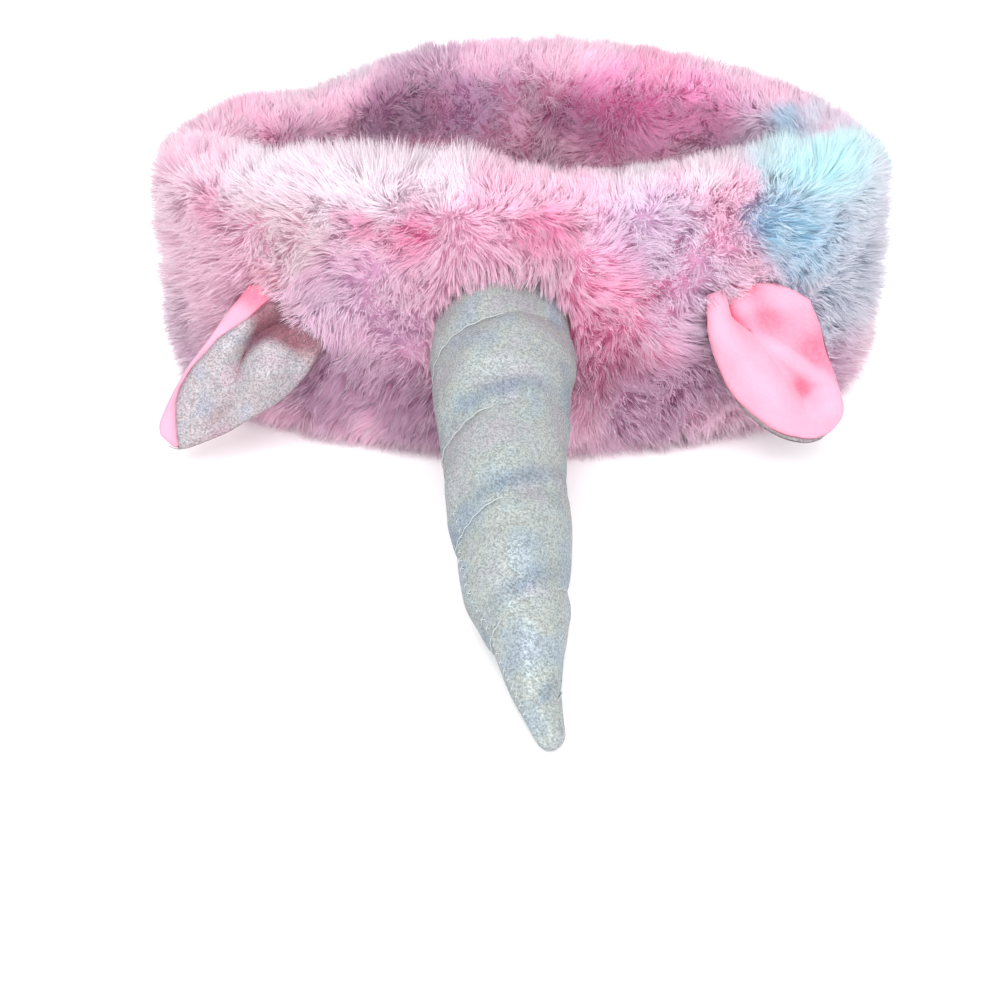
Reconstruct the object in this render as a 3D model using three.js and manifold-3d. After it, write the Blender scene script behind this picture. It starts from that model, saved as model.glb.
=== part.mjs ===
// Plush unicorn headband lying on a table: a ring of deep fur, a stuffed horn and two folded ears.
// Millimetres, Z up. The horn points along -Y and the wearer's head goes through along Z.
import * as THREE from 'three';
import { mergeVertices } from 'three/addons/utils/BufferGeometryUtils.js';
import Module from 'manifold-3d';

// Fur ring, measured over the fur
const BAND_WIDTH = 252;
const BAND_DEPTH = 140;
const BAND_HEIGHT = 104;
const WALL_THICKNESS = 32;
const PRESSED_DEPTH = 6;
const LOCK_DEPTH = 4.5;
const LOCK_LEAN = 3.6;
const LOCK_SWIRL_DEGREES = 50;
const LUMP_HEIGHT = 1.2;
const STATIONS_AROUND = 96;
const POINTS_IN_SECTION = 36;

// Horn
const HORN_REACH = 132;
const HORN_ROOT_RADIUS = 22.9;
const HORN_TIP_RADIUS = 4.3;
const HORN_ROOT_DEPTH = 20;
const HORN_ROOT_HEIGHT = 49;
const HORN_ROOT_OFFSET = -6;
const HORN_TIP_OFFSET = 4.9;
const GROOVE_PITCH = 32;
const GROOVE_DEPTH = 1.3;
const HORN_RINGS = 46;
const HORN_SIDES = 20;
const TIP_RINGS = 3;

// Ears
const EAR_LENGTH = 50;
const EAR_WIDTH = 34;
const EAR_ROOT_DEPTH = 9;
const EAR_CUP_DEPTH = 4;
const EAR_PLEAT_DEPTH = 3.5;
const LINING_THICKNESS = 1.8;
const BACKING_THICKNESS = 1.5;
const EAR_ROWS = 11;
const EAR_COLUMNS = 10;

// Fit between sewn pieces
const GAP = 0.3;
const SOCKET_CLEARANCE = 0.35;

// The ring goes round from the front, by the wearer's left end (+X), the back and the other end.
// Height is a share of BAND_HEIGHT and thickness a share of WALL_THICKNESS.
const BAND_STATIONS = [
  { turn: 0.0, height: 0.985, thickness: 0.98 },
  { turn: 0.04, height: 0.97, thickness: 0.96 },
  { turn: 0.09, height: 0.985, thickness: 0.98 },
  { turn: 0.14, height: 0.965, thickness: 0.98 },
  { turn: 0.19, height: 0.915, thickness: 1.0 },
  { turn: 0.25, height: 0.87, thickness: 1.0 },
  { turn: 0.31, height: 0.91, thickness: 0.98 },
  { turn: 0.38, height: 0.965, thickness: 0.98 },
  { turn: 0.47, height: 1.0, thickness: 1.0 },
  { turn: 0.56, height: 0.985, thickness: 1.0 },
  { turn: 0.6, height: 0.935, thickness: 0.98 },
  { turn: 0.647, height: 0.86, thickness: 0.94 },
  { turn: 0.69, height: 0.9, thickness: 1.04 },
  { turn: 0.75, height: 0.885, thickness: 1.12 },
  { turn: 0.81, height: 0.925, thickness: 1.06 },
  { turn: 0.87, height: 0.965, thickness: 0.98 },
  { turn: 0.94, height: 0.985, thickness: 0.98 },
  { turn: 1.0, height: 0.985, thickness: 0.98 },
];

// Girth of the stuffed horn as a share of HORN_ROOT_RADIUS, along its whole length.
const HORN_STATIONS = [
  { along: 0.0, girth: 0.9 },
  { along: 0.08, girth: 0.96 },
  { along: 0.14, girth: 1.0 },
  { along: 0.23, girth: 0.965 },
  { along: 0.32, girth: 0.9 },
  { along: 0.4, girth: 0.835 },
  { along: 0.48, girth: 0.8 },
  { along: 0.56, girth: 0.76 },
  { along: 0.63, girth: 0.705 },
  { along: 0.705, girth: 0.645 },
  { along: 0.773, girth: 0.55 },
  { along: 0.841, girth: 0.43 },
  { along: 0.906, girth: 0.33 },
  { along: 0.969, girth: 0.225 },
  { along: 1.0, girth: 0.188 },
];

// Each ear hangs from the wall. Turn says where on the ring it is sewn, height is a share of
// BAND_HEIGHT, swing turns it in the plane of the wall and lift tips it away from the wall.
// The lining is on the side that is seen when liningSide is 1, and the ear cups towards it.
// Its edges are shares of EAR_LENGTH and EAR_WIDTH, and crease says where the pleat runs.
const RIGHT_EAR = {
  turn: 0.135,
  height: 0.54,
  swingDegrees: 17.6,
  liftDegrees: 29,
  liningSide: 1,
  edges: [
    { along: 0.0, left: -0.51, right: 0.44, crease: -0.2 },
    { along: 0.2, left: -0.52, right: 0.44, crease: -0.12 },
    { along: 0.4, left: -0.515, right: 0.42, crease: -0.04 },
    { along: 0.6, left: -0.47, right: 0.38, crease: 0.02 },
    { along: 0.8, left: -0.36, right: 0.33, crease: 0.02 },
    { along: 0.93, left: -0.22, right: 0.25, crease: 0.02 },
    { along: 1.0, left: 0.02, right: 0.02, crease: 0.02 },
  ],
};
const LEFT_EAR = {
  turn: 0.862,
  height: 0.472,
  swingDegrees: -36.8,
  liftDegrees: 31,
  liningSide: -1,
  edges: [
    { along: 0.0, left: -0.42, right: 0.42, crease: -0.02 },
    { along: 0.15, left: -0.44, right: 0.44, crease: 0.06 },
    { along: 0.35, left: -0.4, right: 0.42, crease: 0.1 },
    { along: 0.55, left: -0.38, right: 0.37, crease: 0.12 },
    { along: 0.75, left: -0.34, right: 0.28, crease: 0.08 },
    { along: 0.9, left: -0.27, right: 0.17, crease: 0.02 },
    { along: 1.0, left: -0.06, right: -0.06, crease: -0.02 },
  ],
};

const wasm = await Module();
wasm.setup();

// Reads one column of a table at a share between its rows, easing from row to row.
function readTable(table, key, column, share) {
  let row = 1;
  while (row < table.length - 1 && table[row][key] < share) row += 1;
  const low = table[row - 1];
  const high = table[row];
  const blend = THREE.MathUtils.smoothstep(share, low[key], high[key]);
  return THREE.MathUtils.lerp(low[column], high[column], blend);
}

// The same with straight runs between the rows, for outlines that must not show steps.
function readStraight(table, key, column, share) {
  let row = 1;
  while (row < table.length - 1 && table[row][key] < share) row += 1;
  const low = table[row - 1];
  const high = table[row];
  const blend = THREE.MathUtils.mapLinear(share, low[key], high[key], 0, 1);
  return THREE.MathUtils.lerp(low[column], high[column], blend);
}

function toManifold(geometry) {
  const bare = geometry.clone();
  bare.deleteAttribute('normal');
  bare.deleteAttribute('uv');
  const merged = mergeVertices(bare, 1e-3);
  const mesh = new wasm.Mesh({
    numProp: 3,
    vertProperties: new Float32Array(merged.attributes.position.array),
    triVerts: new Uint32Array(merged.index.array),
  });
  return new wasm.Manifold(mesh);
}

// Keeps the main body of a cut piece and drops the loose lock ends that a cut leaves behind.
function toGeometry(manifold) {
  const bodies = manifold.decompose();
  bodies.sort((one, other) => other.volume() - one.volume());
  const mesh = bodies[0].getMesh();
  const geometry = new THREE.BufferGeometry();
  geometry.setAttribute('position', new THREE.BufferAttribute(new Float32Array(mesh.vertProperties), 3));
  geometry.setIndex(new THREE.BufferAttribute(new Uint32Array(mesh.triVerts), 1));
  geometry.computeVertexNormals();
  return geometry;
}

function gridGeometry(points, triangles) {
  const geometry = new THREE.BufferGeometry().setFromPoints(points);
  geometry.setIndex(triangles);
  geometry.computeVertexNormals();
  return geometry;
}

// Middle line of the fur wall, seen from above, starting at the front.
const wallLine = new THREE.EllipseCurve(
  0,
  0,
  (BAND_WIDTH - WALL_THICKNESS) / 2,
  (BAND_DEPTH - WALL_THICKNESS) / 2,
  -Math.PI / 2,
  (3 * Math.PI) / 2
);

// Place on the wall line with its directions along the wall and out of the ring.
function wallFrame(turn) {
  const centre = wallLine.getPointAt(turn);
  const tangent = wallLine.getTangentAt(turn);
  return {
    centre: new THREE.Vector3(centre.x, centre.y, 0),
    along: new THREE.Vector3(tangent.x, tangent.y, 0),
    out: new THREE.Vector3(tangent.y, -tangent.x, 0),
  };
}

// Upright section of the wall: straight sides, round top and a base pressed flat by its own weight.
function wallSection(turn) {
  const radius = (WALL_THICKNESS / 2) * readTable(BAND_STATIONS, 'turn', 'thickness', turn);
  const top = BAND_HEIGHT * readTable(BAND_STATIONS, 'turn', 'height', turn) - radius;
  const base = radius - PRESSED_DEPTH;
  const path = new THREE.Path();
  path.absarc(0, top, radius, 0, Math.PI, false);
  path.absarc(0, base, radius, Math.PI, 2 * Math.PI, false);
  path.closePath();
  return { outline: path.getSpacedPoints(POINTS_IN_SECTION), top, base };
}

// Slow waves that make the fur lumpy and swirl its locks.
function wave(turn, share, seed) {
  const around = 2 * Math.PI * turn;
  const across = 2 * Math.PI * share;
  const first = Math.sin(5 * around + 1.5 * Math.sin(across + seed) + seed);
  const second = Math.sin(2 * across - 8 * around + 2.1 * seed);
  return (first + second) / 2;
}

// The ring as one skin of overlapping locks. Their tips fall down the wall on both sides.
function furBand() {
  THREE.MathUtils.seededRandom(11);
  const points = [];
  for (let station = 0; station < STATIONS_AROUND; station += 1) {
    const turn = station / STATIONS_AROUND;
    const frame = wallFrame(turn);
    const section = wallSection(turn);
    for (let step = 0; step < POINTS_IN_SECTION; step += 1) {
      const share = step / POINTS_IN_SECTION;
      const place = section.outline[step];
      const core = new THREE.Vector2(0, THREE.MathUtils.clamp(place.y, section.base, section.top));
      const outward = place.clone().sub(core).normalize();
      const onward = new THREE.Vector2(-outward.y, outward.x);
      const isTip = step % 2 === 0 && (station + step / 2) % 2 === 0;
      const random = THREE.MathUtils.seededRandom();
      const swirl = THREE.MathUtils.degToRad(LOCK_SWIRL_DEGREES) * wave(turn, share, 1);
      const sunk = isTip ? 0.25 * random * LOCK_DEPTH : (0.75 + 0.25 * random) * LOCK_DEPTH;
      const lump = LUMP_HEIGHT * wave(turn, share, 4);
      const lean = isTip ? LOCK_LEAN : 0;
      place.addScaledVector(outward, lump - sunk);
      place.addScaledVector(onward, -lean * outward.x * Math.cos(swirl));
      const point = frame.centre.clone();
      point.addScaledVector(frame.out, place.x);
      point.addScaledVector(frame.along, lean * Math.sin(swirl));
      point.z = Math.max(place.y, 0);
      points.push(point);
    }
  }
  const triangles = [];
  for (let station = 0; station < STATIONS_AROUND; station += 1) {
    const next = (station + 1) % STATIONS_AROUND;
    for (let step = 0; step < POINTS_IN_SECTION; step += 1) {
      const up = (step + 1) % POINTS_IN_SECTION;
      const corners = [
        station * POINTS_IN_SECTION + step,
        next * POINTS_IN_SECTION + step,
        next * POINTS_IN_SECTION + up,
        station * POINTS_IN_SECTION + up,
      ];
      if ((station + step) % 2 === 0) {
        triangles.push(corners[0], corners[1], corners[2], corners[0], corners[2], corners[3]);
      } else {
        triangles.push(corners[0], corners[1], corners[3], corners[1], corners[2], corners[3]);
      }
    }
  }
  return gridGeometry(points, triangles);
}

// Middle line of the horn: out of the front wall, drooping until the tip lies on the table.
function hornLine() {
  const front = -BAND_DEPTH / 2;
  const rootY = front + HORN_ROOT_DEPTH;
  const tipY = front - HORN_REACH + HORN_TIP_RADIUS;
  const run = tipY - rootY;
  const fall = HORN_TIP_RADIUS - HORN_ROOT_HEIGHT;
  const shift = HORN_TIP_OFFSET - HORN_ROOT_OFFSET;
  const root = new THREE.Vector3(HORN_ROOT_OFFSET, rootY, HORN_ROOT_HEIGHT);
  const leave = root.clone().add(new THREE.Vector3(-0.34 * shift, 0.31 * run, 0.18 * fall));
  const sag = root.clone().add(new THREE.Vector3(0.16 * shift, 0.71 * run, 0.68 * fall));
  const tip = new THREE.Vector3(HORN_TIP_OFFSET, tipY, HORN_TIP_RADIUS);
  return new THREE.CubicBezierCurve3(root, leave, sag, tip);
}

// The horn, or the room it takes up when extra is the clearance round it.
function hornGeometry(extra) {
  const line = hornLine();
  const length = line.getLength();
  const points = [];
  const up = new THREE.Vector3(0, 0, 1);
  const addRing = (centre, direction, radius, along) => {
    const side = direction.clone().cross(up).normalize().negate();
    const top = side.clone().cross(direction).negate().normalize();
    for (let turn = 0; turn < HORN_SIDES; turn += 1) {
      const angle = (2 * Math.PI * turn) / HORN_SIDES;
      const phase = (along * length) / GROOVE_PITCH + turn / HORN_SIDES;
      const puff = Math.abs(Math.sin(Math.PI * phase)) ** 0.6;
      const groove = extra > 0 ? 0 : GROOVE_DEPTH * (1 - puff) * Math.min(1, radius / HORN_ROOT_RADIUS + 0.2);
      const point = centre.clone();
      point.addScaledVector(side, (radius - groove) * Math.sin(angle));
      point.addScaledVector(top, (radius - groove) * Math.cos(angle));
      points.push(point);
    }
  };
  for (let ring = 0; ring <= HORN_RINGS; ring += 1) {
    const along = ring / HORN_RINGS;
    const girth = readStraight(HORN_STATIONS, 'along', 'girth', along);
    const centre = line.getPointAt(along);
    if (ring === 0) centre.addScaledVector(line.getTangentAt(0), -extra);
    addRing(centre, line.getTangentAt(along), HORN_ROOT_RADIUS * girth + extra, along);
  }
  const endRadius = HORN_ROOT_RADIUS * HORN_STATIONS[HORN_STATIONS.length - 1].girth + extra;
  const endDirection = line.getTangentAt(1);
  for (let ring = 1; ring <= TIP_RINGS; ring += 1) {
    const angle = (Math.PI / 2) * (ring / (TIP_RINGS + 1));
    const centre = line.getPointAt(1).addScaledVector(endDirection, endRadius * Math.sin(angle));
    addRing(centre, endDirection, endRadius * Math.cos(angle), 1);
  }
  for (const point of points) point.z = Math.max(point.z, 0);
  const rings = HORN_RINGS + TIP_RINGS + 1;
  const triangles = [];
  for (let ring = 0; ring < rings - 1; ring += 1) {
    for (let turn = 0; turn < HORN_SIDES; turn += 1) {
      const next = (turn + 1) % HORN_SIDES;
      const here = ring * HORN_SIDES;
      const ahead = here + HORN_SIDES;
      triangles.push(here + turn, ahead + next, here + next, here + turn, ahead + turn, ahead + next);
    }
  }
  const rootCentre = points.push(line.getPointAt(0).addScaledVector(line.getTangentAt(0), -extra)) - 1;
  const tipCentre = points.push(line.getPointAt(1).addScaledVector(endDirection, endRadius)) - 1;
  const lastRing = (rings - 1) * HORN_SIDES;
  for (let turn = 0; turn < HORN_SIDES; turn += 1) {
    const next = (turn + 1) % HORN_SIDES;
    triangles.push(rootCentre, turn, next);
    triangles.push(tipCentre, lastRing + next, lastRing + turn);
  }
  return gridGeometry(points, triangles);
}

// Directions of one ear: across it, down it to the tip, and out of the face that is seen.
function earFrame(ear) {
  const wall = wallFrame(ear.turn);
  const thickness = WALL_THICKNESS * readTable(BAND_STATIONS, 'turn', 'thickness', ear.turn);
  const upward = new THREE.Vector3(0, 0, 1);
  const swing = THREE.MathUtils.degToRad(ear.swingDegrees);
  const lift = THREE.MathUtils.degToRad(ear.liftDegrees);
  const across = wall.along.clone().applyAxisAngle(wall.out, swing);
  const down = upward.clone().negate().applyAxisAngle(wall.out, swing);
  down.applyAxisAngle(across, -lift);
  const root = wall.centre.clone().addScaledVector(wall.out, thickness / 2);
  root.addScaledVector(upward, BAND_HEIGHT * ear.height);
  return { root, across, down, face: down.clone().cross(across) };
}

// Middle surface of an ear as rows of points from the sewn root to the tip.
function earRows(ear, spread) {
  const frame = earFrame(ear);
  const rows = [];
  for (let row = 0; row <= EAR_ROWS; row += 1) {
    const along = Math.sin((Math.PI / 2) * (row / EAR_ROWS));
    const left = readStraight(ear.edges, 'along', 'left', along) * EAR_WIDTH;
    const right = readStraight(ear.edges, 'along', 'right', along) * EAR_WIDTH;
    const crease = readStraight(ear.edges, 'along', 'crease', along) * EAR_WIDTH;
    const reach = row === 0 ? -EAR_ROOT_DEPTH - spread : along * EAR_LENGTH;
    const points = [];
    for (let column = 0; column <= EAR_COLUMNS; column += 1) {
      const share = column / EAR_COLUMNS;
      const place = THREE.MathUtils.lerp(left - spread, right + spread, share);
      const cup = EAR_CUP_DEPTH * ear.liningSide * (2 * share - 1) ** 2 * (1 - 0.6 * along);
      const fold = Math.exp(-(((place - crease) / (0.13 * EAR_WIDTH)) ** 2));
      const pleat = EAR_PLEAT_DEPTH * fold * Math.sqrt(Math.max(0, 1 - along));
      const point = frame.root.clone();
      point.addScaledVector(frame.across, place);
      point.addScaledVector(frame.down, row === EAR_ROWS ? reach + spread : reach);
      point.addScaledVector(frame.face, cup - pleat);
      points.push(point);
    }
    rows.push(points);
  }
  return { rows, face: frame.face };
}

// A cloth layer between two distances from the middle surface of an ear.
function earLayer(ear, inner, outer, spread) {
  const { rows, face } = earRows(ear, spread);
  const points = [];
  for (const distance of [inner, outer]) {
    for (let row = 0; row <= EAR_ROWS; row += 1) {
      for (let column = 0; column <= EAR_COLUMNS; column += 1) {
        const here = Math.min(row, EAR_ROWS - 1);
        const before = rows[Math.max(here - 1, 0)][column];
        const after = rows[Math.min(here + 1, EAR_ROWS)][column];
        const leftward = rows[here][Math.max(column - 1, 0)];
        const rightward = rows[here][Math.min(column + 1, EAR_COLUMNS)];
        const normal = after.clone().sub(before).cross(rightward.clone().sub(leftward)).normalize();
        if (row === EAR_ROWS) normal.copy(face);
        points.push(rows[row][column].clone().addScaledVector(normal, distance));
      }
    }
  }
  const wide = EAR_COLUMNS + 1;
  const layer = wide * (EAR_ROWS + 1);
  const triangles = [];
  const quad = (first, second, third, fourth) => {
    triangles.push(first, second, third, first, third, fourth);
  };
  for (let row = 0; row < EAR_ROWS; row += 1) {
    for (let column = 0; column < EAR_COLUMNS; column += 1) {
      const corner = row * wide + column;
      quad(corner, corner + 1, corner + wide + 1, corner + wide);
      quad(layer + corner, layer + corner + wide, layer + corner + wide + 1, layer + corner + 1);
    }
    const leftEdge = row * wide;
    const rightEdge = leftEdge + EAR_COLUMNS;
    quad(leftEdge, leftEdge + wide, layer + leftEdge + wide, layer + leftEdge);
    quad(rightEdge + wide, rightEdge, layer + rightEdge, layer + rightEdge + wide);
  }
  for (let column = 0; column < EAR_COLUMNS; column += 1) {
    const tipEdge = EAR_ROWS * wide + column;
    quad(column + 1, column, layer + column, layer + column + 1);
    quad(tipEdge, tipEdge + 1, layer + tipEdge + 1, layer + tipEdge);
  }
  return gridGeometry(points, triangles);
}

const frontIsLining = { inner: GAP / 2, outer: GAP / 2 + LINING_THICKNESS };
const frontIsBacking = { inner: GAP / 2, outer: GAP / 2 + BACKING_THICKNESS };
const rearIsLining = { inner: -GAP / 2 - LINING_THICKNESS, outer: -GAP / 2 };
const rearIsBacking = { inner: -GAP / 2 - BACKING_THICKNESS, outer: -GAP / 2 };

function earPieces(ear) {
  const lining = ear.liningSide > 0 ? frontIsLining : rearIsLining;
  const backing = ear.liningSide > 0 ? rearIsBacking : frontIsBacking;
  const low = Math.min(lining.inner, backing.inner) - SOCKET_CLEARANCE;
  const high = Math.max(lining.outer, backing.outer) + SOCKET_CLEARANCE;
  return {
    lining: toManifold(earLayer(ear, lining.inner, lining.outer, 0)),
    backing: toManifold(earLayer(ear, backing.inner, backing.outer, 0)),
    room: toManifold(earLayer(ear, low, high, SOCKET_CLEARANCE)),
  };
}

const rightEar = earPieces(RIGHT_EAR);
const leftEar = earPieces(LEFT_EAR);
const horn = toManifold(hornGeometry(0));
const hornRoom = toManifold(hornGeometry(SOCKET_CLEARANCE));
const band = toManifold(furBand()).subtract(hornRoom).subtract(rightEar.room).subtract(leftEar.room);

function piece(name, manifold, colour, roughness) {
  const material = new THREE.MeshStandardMaterial({ color: colour, roughness, metalness: 0 });
  material.name = name;
  const mesh = new THREE.Mesh(toGeometry(manifold), material);
  mesh.name = name;
  return mesh;
}

const headband = new THREE.Group();
headband.name = 'unicorn_headband';
headband.add(piece('fur_band', band, 0xe6b3d0, 0.95));
headband.add(piece('horn', horn, 0xc9d2d6, 0.45));
headband.add(piece('right_ear_lining', rightEar.lining, 0xf8b4c8, 0.9));
headband.add(piece('right_ear_back', rightEar.backing, 0xc2bcc6, 0.45));
headband.add(piece('left_ear_lining', leftEar.lining, 0xf8b4c8, 0.9));
headband.add(piece('left_ear_back', leftEar.backing, 0xc2bcc6, 0.45));

// The origin is the middle of the underside of the whole part.
const box = new THREE.Box3().setFromObject(headband);
const middle = box.getCenter(new THREE.Vector3());
headband.position.set(-middle.x, -middle.y, -box.min.z);

const part = new THREE.Group();
part.name = 'part';
part.add(headband);
export default part;
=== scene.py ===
import math

import bmesh
import bpy
import numpy as np
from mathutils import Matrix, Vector


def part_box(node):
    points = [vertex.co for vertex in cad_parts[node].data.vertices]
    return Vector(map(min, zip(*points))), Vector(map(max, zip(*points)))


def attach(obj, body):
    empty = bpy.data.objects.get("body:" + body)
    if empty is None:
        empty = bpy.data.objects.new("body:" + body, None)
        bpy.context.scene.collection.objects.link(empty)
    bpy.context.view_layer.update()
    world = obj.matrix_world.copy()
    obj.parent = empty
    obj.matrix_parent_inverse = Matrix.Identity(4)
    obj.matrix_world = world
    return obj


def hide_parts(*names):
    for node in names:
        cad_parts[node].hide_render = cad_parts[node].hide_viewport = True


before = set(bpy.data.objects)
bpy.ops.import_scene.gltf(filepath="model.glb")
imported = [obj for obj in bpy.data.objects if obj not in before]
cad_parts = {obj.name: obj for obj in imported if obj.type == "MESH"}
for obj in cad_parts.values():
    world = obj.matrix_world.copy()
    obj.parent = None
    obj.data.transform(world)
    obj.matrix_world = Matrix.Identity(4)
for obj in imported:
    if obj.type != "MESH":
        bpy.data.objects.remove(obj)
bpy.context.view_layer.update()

# The padded ring.
# Fur cloth sewn into a tube round soft wadding and an elastic, and joined end to end. This is the
# cloth that the pile grows from. It shows only deep in a parting, and lies flat where it stands.
MM = 0.001
RING_WIDTH, RING_DEPTH, RING_HEIGHT = 252 * MM, 140 * MM, 104 * MM
WALL = 32 * MM
PRESSED = 6 * MM
PILE_DEPTH = 11.5 * MM
CLOTH_LIFT = 0.8 * MM
RING_CENTRE = np.array([1.5, 65.9, 0.0]) * MM
UPRIGHT = np.array([0, 0, 1.0])
# turn, height, thickness: shares of the way round from the front, of the height and of the wall
RING_STATIONS = np.array([
    (0.00, 0.985, 0.98), (0.04, 0.970, 0.96), (0.09, 0.985, 0.98), (0.14, 0.965, 0.98),
    (0.19, 0.915, 1.00), (0.25, 0.870, 1.00), (0.31, 0.910, 0.98), (0.38, 0.965, 0.98),
    (0.47, 1.000, 1.00), (0.56, 0.985, 1.00), (0.60, 0.935, 0.98), (0.647, 0.860, 0.94),
    (0.69, 0.900, 1.04), (0.75, 0.885, 1.12), (0.81, 0.925, 1.06), (0.87, 0.965, 0.98),
    (0.94, 0.985, 0.98), (1.00, 0.985, 0.98),
])
CLOTH_ROWS, CLOTH_COLUMNS = 160, 56


def ring_place(turn):
    """Points on the wall's middle line, with the directions along it and out of the ring."""
    angle = np.linspace(0, 2 * math.pi, 2001)
    half = np.array([RING_WIDTH - WALL, RING_DEPTH - WALL]) / 2
    line = np.stack([half[0] * np.sin(angle), -half[1] * np.cos(angle)], 1)
    run = np.concatenate([[0], np.cumsum(np.linalg.norm(np.diff(line, axis=0), axis=1))])
    here = np.interp(np.mod(turn, 1) * run[-1], run, angle)
    along = np.stack([half[0] * np.cos(here), half[1] * np.sin(here), 0 * here], -1)
    along /= np.linalg.norm(along, axis=-1, keepdims=True)
    centre = np.stack([half[0] * np.sin(here), -half[1] * np.cos(here), 0 * here], -1) + RING_CENTRE
    return centre, along, np.stack([along[..., 1], -along[..., 0], 0 * here], -1)


def ring_surface(turn, share, inset):
    """Points on the wall, inset from the tips of the fur, with the directions out of it, along it
    and across it. Share goes up the outside, over the top, down the inside and under the base."""
    centre, along, out = ring_place(turn)
    station = np.mod(turn, 1)
    radius = WALL / 2 * np.interp(station, RING_STATIONS[:, 0], RING_STATIONS[:, 2])
    top = RING_HEIGHT * np.interp(station, RING_STATIONS[:, 0], RING_STATIONS[:, 1]) - radius
    base = radius - PRESSED
    side, bend = top - base, math.pi * radius
    run = np.mod(share, 1) * 2 * (side + bend)
    parts = [run < side, run < side + bend, run < 2 * side + bend]
    turned = np.select(
        parts, [0 * run, (run - side) / radius, 0 * run + math.pi],
        math.pi + (run - 2 * side - bend) / radius,
    )[..., None]
    level = np.select(parts, [base + run, top, top - (run - side - bend)], base)[..., None]
    normal = np.cos(turned) * out + np.sin(turned) * UPRIGHT
    across = np.cos(turned) * UPRIGHT - np.sin(turned) * out
    return centre + level * UPRIGHT + (radius[..., None] - inset) * normal, normal, along, across


def grid_mesh(name, points, closed_rows=False, fold=None):
    """A mesh round a grid of points. Its columns close up, and its rows close up or are capped.
    Fold says how much shade is painted on each point, from 0 to 1."""
    rows, columns = points.shape[:2]
    row = np.arange(rows if closed_rows else rows - 1)[:, None]
    column = np.arange(columns)[None, :]
    next_row, next_column = (row + 1) % rows, (column + 1) % columns
    faces = np.stack([
        row * columns + column, next_row * columns + column,
        next_row * columns + next_column, row * columns + next_column,
    ], -1).reshape(-1, 4).tolist()
    corners = points.reshape(-1, 3).tolist()
    if not closed_rows:
        for end in (0, rows - 1):
            corners.append(points[end].mean(0).tolist())
            middle = len(corners) - 1
            first = end * columns
            faces += [(middle, first + k, first + (k + 1) % columns) for k in range(columns)]
    mesh = bpy.data.meshes.new(name)
    mesh.from_pydata(corners, [], faces)
    shape = bmesh.new()
    shape.from_mesh(mesh)
    bmesh.ops.recalc_face_normals(shape, faces=shape.faces)
    shape.to_mesh(mesh)
    shape.free()
    mesh.shade_smooth()
    if fold is not None:
        shade_values = np.append(fold.reshape(-1), [fold[0].mean(), fold[-1].mean()]).astype(np.float32)
        mesh.attributes.new("fold", "FLOAT", "POINT").data.foreach_set("value", shade_values)
    piece = bpy.data.objects.new(name, mesh)
    bpy.context.scene.collection.objects.link(piece)
    return piece


turn, share = np.meshgrid(
    np.arange(CLOTH_ROWS) / CLOTH_ROWS, np.arange(CLOTH_COLUMNS) / CLOTH_COLUMNS, indexing="ij")
cloth_points = ring_surface(turn, share, PILE_DEPTH)[0]
cloth_points[..., 2] = np.maximum(cloth_points[..., 2], CLOTH_LIFT)
ring_cloth = grid_mesh("ring_cloth", cloth_points, closed_rows=True)


class Maths:
    """Wraps a shader socket so that its maths is written as Python."""

    def __init__(self, finish, socket):
        self.finish, self.socket = finish, socket

    def _maths(self, operation, *values):
        return self.finish.add("ShaderNodeMath", {"operation": operation}, *values)

    def __add__(self, other): return self._maths("ADD", self, other)
    def __radd__(self, other): return self._maths("ADD", other, self)
    def __sub__(self, other): return self._maths("SUBTRACT", self, other)
    def __rsub__(self, other): return self._maths("SUBTRACT", other, self)
    def __mul__(self, other): return self._maths("MULTIPLY", self, other)
    def __rmul__(self, other): return self._maths("MULTIPLY", other, self)
    def __pow__(self, other): return self._maths("POWER", self, other)


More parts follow.
